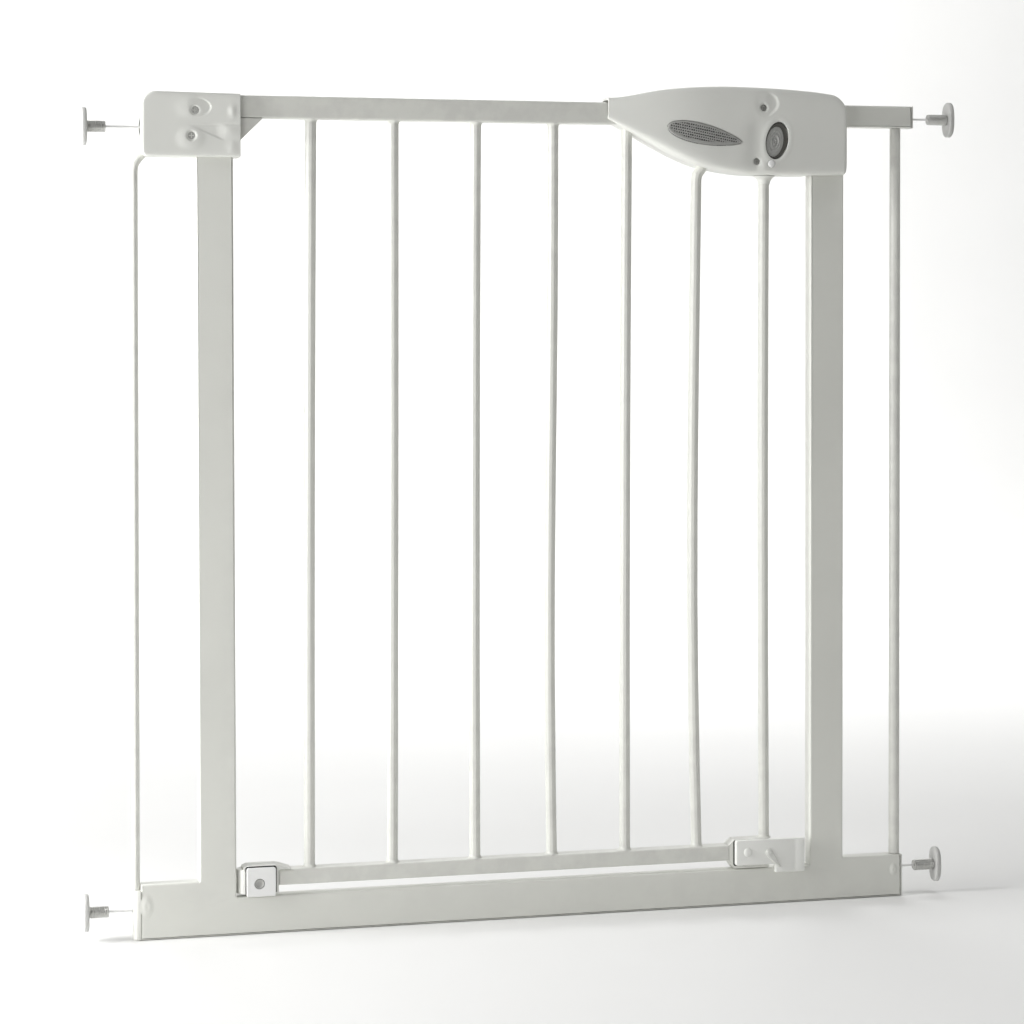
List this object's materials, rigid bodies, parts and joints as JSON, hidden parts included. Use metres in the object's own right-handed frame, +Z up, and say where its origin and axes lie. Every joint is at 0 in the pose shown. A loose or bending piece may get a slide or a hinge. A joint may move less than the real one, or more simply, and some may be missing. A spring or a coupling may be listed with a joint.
{
  "type": "safety gate",
  "caption": "Pressure-fit safety gate: welded tube frame, barred door hinged on one side, moulded latch housing with grip pads and button, round wall pads on threaded spindles",
  "frame": {"origin": "on the floor, under the middle of the gate's overall width and depth", "axes": "+X along the gate from the hinge side to the latch side, +Y away from the side that the door opens towards, +Z up"},
  "size_m": [0.8219, 0.0477, 0.7645],
  "materials": {
    "white_steel": "satin white powder coat",
    "white_plastic": "satin moulded white",
    "grey_rubber": "moulded grey with a raised pattern",
    "grey_plastic": "satin moulded grey",
    "zinc": "zinc plated, slightly mottled"
  },
  "bodies": {
    "frame": {"left_upright": "white_steel", "right_upright": "white_steel", "threshold_rail": "white_steel", "left_foot_rail": "white_steel", "right_foot_rail": "white_steel", "stub_rail": "white_steel", "left_outer_rod": "white_steel", "right_outer_rod": "white_steel", "hinge_bracket_front": "white_plastic", "hinge_bracket_rear": "white_plastic", "bracket_screw_upper": "zinc", "bracket_screw_lower": "zinc", "upper_hinge_arm": "white_steel", "upper_hinge_pin": "zinc", "lower_hinge_pin": "zinc", "spindle_insert_upper_left": "grey_plastic", "spindle_insert_lower_left": "white_plastic", "spindle_insert_upper_right": "white_plastic", "spindle_insert_lower_right": "white_plastic", "striker_plate": "zinc"},
    "lift_carrier": {"upper_hinge_bush": "white_plastic", "lower_hinge_bush": "white_plastic"},
    "door": {"door_top_rail": "white_steel", "door_bottom_rail": "white_steel", "door_bar_1": "white_steel", "door_bar_2": "white_steel", "door_bar_3": "white_steel", "door_bar_4": "white_steel", "door_bar_5": "white_steel", "door_bar_6": "white_steel", "door_bar_7": "white_steel", "latch_housing_front": "white_plastic", "latch_housing_rear": "white_plastic", "bar_collar": "white_plastic", "latch_end_plate": "white_steel", "housing_screw_upper": "zinc", "housing_screw_lower": "zinc", "indicator_pin": "white_plastic", "lower_hinge_sleeve": "white_plastic", "lower_hinge_cover": "white_plastic", "lower_hinge_rivet": "zinc", "lower_rail_shoe": "white_steel", "lower_latch_block": "white_plastic", "latch_block_pin": "zinc", "bolt_spring": "zinc"},
    "bolt": {"latch_bolt": "zinc"},
    "front_grip": {"grip_pad_front": "grey_rubber"},
    "rear_grip": {"grip_pad_rear": "grey_rubber"},
    "button": {"release_button": "grey_plastic"},
    "lever": {"stop_lever": "grey_plastic"},
    "pad_upper_left": {"wall_pad_upper_left": "white_plastic"},
    "rod_upper_left": {"spindle_upper_left": "zinc"},
    "pad_lower_left": {"wall_pad_lower_left": "white_plastic"},
    "rod_lower_left": {"spindle_lower_left": "zinc"},
    "pad_upper_right": {"wall_pad_upper_right": "white_plastic"},
    "rod_upper_right": {"spindle_upper_right": "zinc"},
    "pad_lower_right": {"wall_pad_lower_right": "white_plastic"},
    "rod_lower_right": {"spindle_lower_right": "zinc"}
  },
  "joints": [
    {"name": "door_lift", "type": "slide", "parent": "frame", "child": "lift_carrier", "axis": [0, 0, 1], "range_m": [0, 0.008]},
    {"name": "door_swing", "type": "hinge", "parent": "lift_carrier", "child": "door", "pos_m": [-0.264, 0, 0.4], "axis": [0, 0, -1], "range_deg": [0, 90]},
    {"name": "grip_squeeze", "type": "slide", "parent": "door", "child": "front_grip", "axis": [0, 1, 0], "range_m": [0, 0.0025], "stiffness_N_per_m": 600, "springref_m": -0.001},
    {"name": "rear_grip_squeeze", "type": "slide", "parent": "door", "child": "rear_grip", "axis": [0, -1, 0], "range_m": [0, 0.0025]},
    {"name": "bolt_slide", "type": "slide", "parent": "door", "child": "bolt", "axis": [-1, 0, 0], "range_m": [0, 0.006], "deforming": ["bolt_spring"]},
    {"name": "button_press", "type": "slide", "parent": "door", "child": "button", "axis": [0, 1, 0], "range_m": [0, 0.003], "stiffness_N_per_m": 400, "springref_m": -0.001},
    {"name": "stop_lever_turn", "type": "hinge", "parent": "door", "child": "lever", "pos_m": [0.222, 0, 0.0494], "axis": [0, -1, 0], "range_deg": [0, 45]},
    {"name": "pad_travel_upper_left", "type": "slide", "parent": "frame", "child": "pad_upper_left", "axis": [-1, 0, 0], "range_m": [-0.0075, 0.015]},
    {"name": "spindle_turn_upper_left", "type": "hinge", "parent": "pad_upper_left", "child": "rod_upper_left", "pos_m": [-0.4104, 0, 0.719], "axis": [-1, 0, 0], "range_deg": [-1801, 3601]},
    {"name": "pad_travel_lower_left", "type": "slide", "parent": "frame", "child": "pad_lower_left", "axis": [-1, 0, 0], "range_m": [-0.0075, 0.015]},
    {"name": "spindle_turn_lower_left", "type": "hinge", "parent": "pad_lower_left", "child": "rod_lower_left", "pos_m": [-0.4126, 0, 0.0257], "axis": [-1, 0, 0], "range_deg": [-1801, 3601]},
    {"name": "pad_travel_upper_right", "type": "slide", "parent": "frame", "child": "pad_upper_right", "axis": [1, 0, 0], "range_m": [-0.0075, 0.015]},
    {"name": "spindle_turn_upper_right", "type": "hinge", "parent": "pad_upper_right", "child": "rod_upper_right", "pos_m": [0.4093, 0, 0.7383], "axis": [1, 0, 0], "range_deg": [-1801, 3601]},
    {"name": "pad_travel_lower_right", "type": "slide", "parent": "frame", "child": "pad_lower_right", "axis": [1, 0, 0], "range_m": [-0.0075, 0.015]},
    {"name": "spindle_turn_lower_right", "type": "hinge", "parent": "pad_lower_right", "child": "rod_lower_right", "pos_m": [0.3975, 0, 0.027], "axis": [1, 0, 0], "range_deg": [-1801, 3601]}
  ],
  "couplings": [
    {"joint": "rear_grip_squeeze", "follows": "grip_squeeze", "ratio": 1},
    {"joint": "bolt_slide", "follows": "grip_squeeze", "ratio": 2.4},
    {"joint": "spindle_turn_upper_left", "follows": "pad_travel_upper_left", "rad_per_m": 4188.8},
    {"joint": "spindle_turn_lower_left", "follows": "pad_travel_lower_left", "rad_per_m": 4188.8},
    {"joint": "spindle_turn_upper_right", "follows": "pad_travel_upper_right", "rad_per_m": 4188.8},
    {"joint": "spindle_turn_lower_right", "follows": "pad_travel_lower_right", "rad_per_m": 4188.8}
  ]
}
